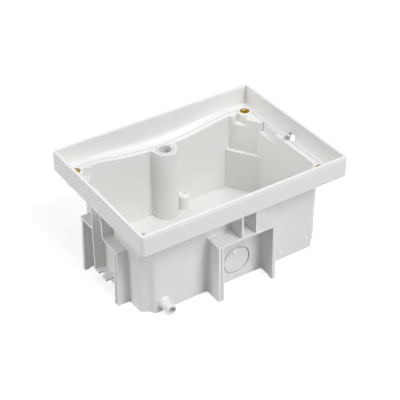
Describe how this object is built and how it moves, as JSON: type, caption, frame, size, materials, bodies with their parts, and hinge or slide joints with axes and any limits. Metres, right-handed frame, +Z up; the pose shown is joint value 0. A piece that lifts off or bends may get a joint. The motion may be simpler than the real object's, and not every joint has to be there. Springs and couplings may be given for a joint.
{
  "type": "floor box",
  "caption": "Open rectangular in-floor electrical box: a moulded plastic tub under a wide rim tray, with a dipped back ledge, drain tube, conduit brackets and brass lid inserts.",
  "frame": {"origin": "on the base plane, under the middle of the rim", "axes": "+X along the long side, -Y towards the front wall with the drain spout, +Z up"},
  "size_m": [0.1923, 0.1393, 0.0924],
  "materials": {
    "box_body": "pale grey injection moulding, satin",
    "corner_inserts": "turned brass"
  },
  "bodies": {
    "root": {"box_body": "box_body", "corner_inserts": "corner_inserts"}
  },
  "joints": []
}
